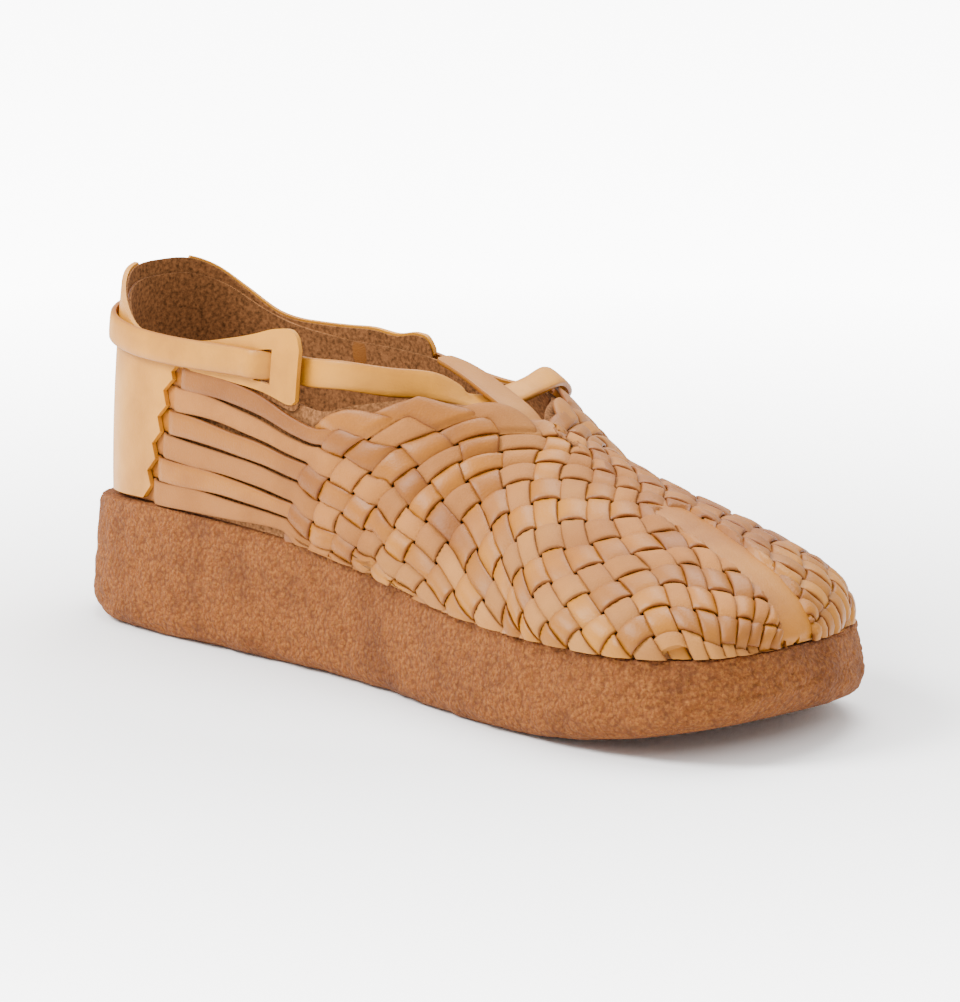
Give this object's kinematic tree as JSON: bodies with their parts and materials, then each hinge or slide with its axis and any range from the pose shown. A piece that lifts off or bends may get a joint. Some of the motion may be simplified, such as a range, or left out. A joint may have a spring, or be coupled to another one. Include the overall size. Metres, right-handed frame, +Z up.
{
  "type": "sandal",
  "caption": "Left woven leather sandal with closed toe, heel counter, heel strap and instep tab, on a thick crepe wedge sole",
  "frame": {"origin": "centre of the bounding box at the floor, under the sole", "axes": "+X to the toe, +Y to the outer side, +Z up"},
  "size_m": [0.2898, 0.1134, 0.103],
  "materials": {
    "crepe_rubber": "matt",
    "brown_suede": "matt",
    "tan_leather": "satin",
    "smooth_tan_leather": "satin"
  },
  "bodies": {
    "root": {"sole": "crepe_rubber", "insole": "brown_suede", "upper": "tan_leather", "heel_counter": "smooth_tan_leather", "heel_strap": "smooth_tan_leather", "instep_tab": "smooth_tan_leather", "toe_plug": "smooth_tan_leather"}
  },
  "joints": []
}
